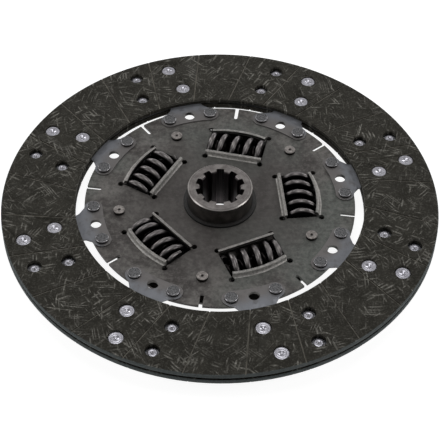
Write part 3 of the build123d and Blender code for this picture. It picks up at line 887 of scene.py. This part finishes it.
def makeCoilTree():
    # sweeps a round wire along a helix whose lead shortens towards both ends
    sockets = {
        "Turns": "Float",
        "Steps": "Int",
        "Centreline Radius": "Float",
        "Pitch": "Float",
        "Open Half Length": "Float",
        "Closed Share": "Float",
        "End Shrink": "Float",
        "End Length": "Float",
        "Wire Radius": "Float",
        "Ring Steps": "Int",
    }
    tree, add, given = newGeometryTree("coilSpring", sockets)
    height = add("Math", (given["Turns"], given["Pitch"]), operation="MULTIPLY")
    winding = {
        "Resolution": given["Steps"],
        "Rotations": given["Turns"],
        "Start Radius": given["Centreline Radius"],
        "End Radius": given["Centreline Radius"],
        "Height": height,
    }
    spiral = add("GeometryNodeCurveSpiral", winding)
    x, y, z = add("SeparateXYZ", (add("GeometryNodeInputPosition"),)).node.outputs
    middle = add("Math", (height, 0.5), operation="MULTIPLY")
    fromMiddle = add("Math", (z, middle), operation="SUBTRACT")
    distance = add("Math", (fromMiddle,), operation="ABSOLUTE")
    beyond = add("Math", (distance, given["Open Half Length"]), operation="SUBTRACT")
    closed = add("Math", (beyond, 0.0), operation="MAXIMUM")
    pulled = add("Math", (closed, given["Closed Share"]), operation="MULTIPLY")
    signed = add("Math", (add("Math", (fromMiddle,), operation="SIGN"), pulled), operation="MULTIPLY")
    total = add("Math", (signed, middle), operation="ADD")
    centred = add("Math", (total, -1.0), operation="MULTIPLY")
    smaller = add("Math", (given["End Shrink"], -1.0), operation="MULTIPLY")
    nearEnd = shareOf(add, (beyond, 0.0, given["End Length"], 0.0, smaller))
    inX, inY = (add("Math", (axis, nearEnd), operation="MULTIPLY") for axis in (x, y))
    offset = add("CombineXYZ", (inX, inY, centred))
    moved = add("GeometryNodeSetPosition", {"Geometry": spiral, "Offset": offset})
    # rings that keep Z up don't twist along the wire, so its highlights run clean
    helix = add("GeometryNodeSetCurveNormal", {"Curve": moved}, mode="Z_UP")
    circle = {"Resolution": given["Ring Steps"], "Radius": given["Wire Radius"]}
    ring = add("GeometryNodeCurvePrimitiveCircle", circle)
    wire = add("GeometryNodeCurveToMesh", {"Curve": helix, "Profile Curve": ring, "Fill Caps": True})
    finishGeometryTree(add, wire, given["Material"])
    return tree


coilTree = makeCoilTree()


def makeCoil(spring, winding, material):
    # wound about Z, turned to bring its wire to the crown, laid along Y, and its ends ground off
    firstTurn, turns, pitch, closedTurns = winding
    openTurns = turns - 2 * closedTurns
    settings = {
        "Turns": turns,
        "Steps": spring["stepsPerTurn"],
        "Centreline Radius": spring["coil"] - spring["wire"],
        "Pitch": pitch * mm,
        "Open Half Length": openTurns * pitch / 2 * mm,
        "Closed Share": 1 - 2 * spring["wire"] / (pitch * mm),
        "End Shrink": spring["endShrink"],
        "End Length": closedTurns * pitch * mm,
        "Wire Radius": spring["wire"],
        "Ring Steps": spring["ringSteps"],
        "Material": material,
    }
    mesh = throughTree(bpy.data.meshes.new("wire"), coilTree, settings)
    mesh.transform(Matrix.Rotation(-2 * math.pi * firstTurn, 4, "Z"))
    mesh.transform(Matrix(((0, spring["hand"], 0, 0), (0, 0, 1, 0), (1, 0, 0, 0), (0, 0, 0, 1))))
    work = bmesh.new()
    work.from_mesh(mesh)
    for side in (-1, 1):
        bmesh.ops.bisect_plane(
            work,
            geom=work.verts[:] + work.edges[:] + work.faces[:],
            plane_co=(0, side * springPlace["length"] / 2, 0),
            plane_no=(0, side, 0),
            clear_outer=True,
        )
        bmesh.ops.holes_fill(work, edges=[e for e in work.edges if e.is_boundary])
    bmesh.ops.triangulate(work, faces=[f for f in work.faces if len(f.verts) > 4])
    bmesh.ops.recalc_face_normals(work, faces=work.faces)
    work.to_mesh(mesh)
    work.free()
    return smoothed(mesh)


for kind, spring in damperSprings.items():
    for number in range(dampers):
        angle = math.radians(windowAngle + damperStep * number)
        place = Matrix.Rotation(angle, 4, "Z") @ Matrix.Translation((springPlace["circle"], 0, damperMiddle))
        placed = makeCoil(spring, spring["windings"][number], springMaterials[kind])
        placed.transform(place)
        piece = makePiece(
            f"{kind}Spring{number + 1}",
            placed,
            springMaterials[kind],
            f"damper_spring_{kind}_{number + 1}",
        )
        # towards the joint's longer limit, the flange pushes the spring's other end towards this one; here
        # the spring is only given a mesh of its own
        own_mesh(piece)
print("springs made")

# White paper floor. Under the spring windows its glow is left out, a painted shadow of the disc.
floorLook = {
    "size": 6.0,
    "paper": "#e8e8e6",
    "glow": 0.92,
    "seenPaper": 0.3,
    "shadeCentre": (0.0, 19 * mm, 0.0),
    "shadeStarts": (8 * mm, 14 * mm),
    "shadeEnds": (68 * mm, 76 * mm),
}


def makeFloor():
    # the camera sees the paper white, and everything else is lit by plain diffuse paper
    mesh = bpy.data.meshes.new("floor")
    half = floorLook["size"] / 2
    corners = [(-half, -half, 0), (half, -half, 0), (half, half, 0), (-half, half, 0)]
    mesh.from_pydata(corners, [], [(0, 1, 2, 3)])
    floor = bpy.data.objects.new("floor", mesh)
    bpy.context.scene.collection.objects.link(floor)
    material = bpy.data.materials.new("whitePaper")
    material.use_nodes = True
    material.node_tree.nodes.clear()
    add = partial(addNode, material.node_tree)
    ray = add("LightPath").node.outputs
    seen = add("Math", (ray["Is Camera Ray"], ray["Is Glossy Ray"]), operation="MAXIMUM")
    seen = add("Math", (seen, ray["Is Transmission Ray"]), operation="MAXIMUM")
    paper = add("BsdfDiffuse", {"Color": floorLook["paper"]})
    shaded = add("BsdfDiffuse", {"Color": (*[floorLook["seenPaper"]] * 3, 1.0)})
    place = add("TexCoord", output="Object")
    fromShade = add("VectorMath", (place, floorLook["shadeCentre"]), "Value", operation="DISTANCE")
    # painted shadow: the glow is left out in a ring under the spring windows
    inner = shareOf(add, (fromShade, *floorLook["shadeStarts"], 1.0, 0.0))
    outer = shareOf(add, (fromShade, *floorLook["shadeEnds"]))
    openPaper = add("Math", (inner, outer), operation="MAXIMUM")
    strength = add("Math", (openPaper, floorLook["glow"]), operation="MULTIPLY")
    glow = add("Emission", {"Color": (1, 1, 1, 1), "Strength": strength})
    white = add("AddShader", (shaded, glow))
    add("OutputMaterial", {"Surface": add("MixShader", (seen, paper, white))})
    mesh.materials.append(material)


# The world's light: what the camera sees of it, and what lights the disc
worldStrength = {"seen": 1.0, "light": 0.1}


def makeWorld():
    world = bpy.data.worlds.new("studio")
    bpy.context.scene.world = world
    world.use_nodes = True
    world.node_tree.nodes.clear()
    add = partial(addNode, world.node_tree)
    ray = add("LightPath", output="Is Camera Ray")
    light = add("Background", {"Color": (1, 1, 1, 1), "Strength": worldStrength["light"]})
    seen = add("Background", {"Color": (1, 1, 1, 1), "Strength": worldStrength["seen"]})
    add("OutputWorld", {"Surface": add("MixShader", (ray, light, seen))})


lampAim = Vector((0, 0, 0.02))
lamps = {
    "leftSoftbox": {"place": (-1.0, -0.2, 0.55), "width": 0.4, "height": 0.4, "power": 2.9},
    "rightSoftbox": {"place": (1.0, -0.2, 0.55), "width": 0.4, "height": 0.4, "power": 2.9},
    "backLeftSoftbox": {"place": (-0.8, 0.85, 0.5), "width": 0.4, "height": 0.5, "power": 3.1},
    "backRightSoftbox": {"place": (0.8, 0.85, 0.5), "width": 0.4, "height": 0.5, "power": 3.1},
    "topPanel": {"place": (0.0, 0.1, 1.2), "width": 0.45, "height": 0.8, "power": 3.7},
    "backPanel": {"place": (0.0, 0.8, 0.85), "width": 0.8, "height": 0.4, "power": 0.7},
    "backStrip": {"place": (0.0, 1.15, 0.2), "width": 0.8, "height": 0.25, "power": 1.8},
}


def makeLamps():
    for name, lamp in lamps.items():
        light = bpy.data.lights.new(name, "AREA")
        light.shape = "RECTANGLE"
        light.size = lamp["width"]
        light.size_y = lamp["height"]
        light.energy = lamp["power"]
        holder = bpy.data.objects.new(name, light)
        holder.location = lamp["place"]
        aim = lampAim - holder.location
        holder.rotation_euler = aim.to_track_quat("-Z", "Y").to_euler()
        bpy.context.scene.collection.objects.link(holder)


# Camera: looks along +Y, 47.8 degrees down, and is rolled a little
cameraView = {
    "lens": 113.52,
    "sensor": 36.0,
    "clip": (0.01, 20.0),
    "elevation": 47.802,
    "roll": 0.741,
    "distance": 0.973218,
    "target": (0.000222, -0.021204, 0.0248),
}


def makeCamera():
    elevation, roll = math.radians(cameraView["elevation"]), math.radians(cameraView["roll"])
    back = Vector((0, -math.cos(elevation), math.sin(elevation)))
    right = Vector((1, 0, 0))
    up = back.cross(right)
    turnedRight = math.cos(roll) * right + math.sin(roll) * up
    turnedUp = math.cos(roll) * up - math.sin(roll) * right
    data = bpy.data.cameras.new("camera")
    data.sensor_width = cameraView["sensor"]
    data.lens = cameraView["lens"]
    data.clip_start, data.clip_end = cameraView["clip"]
    camera = bpy.data.objects.new("camera", data)
    place = Vector(cameraView["target"]) + cameraView["distance"] * back
    axes = Matrix((turnedRight, turnedUp, back)).transposed().to_4x4()
    camera.matrix_world = Matrix.Translation(place) @ axes
    bpy.context.scene.collection.objects.link(camera)
    bpy.context.scene.camera = camera


makeFloor()
makeWorld()
makeLamps()
makeCamera()
bpy.context.scene.view_settings.view_transform = "Standard"
print("stage made")
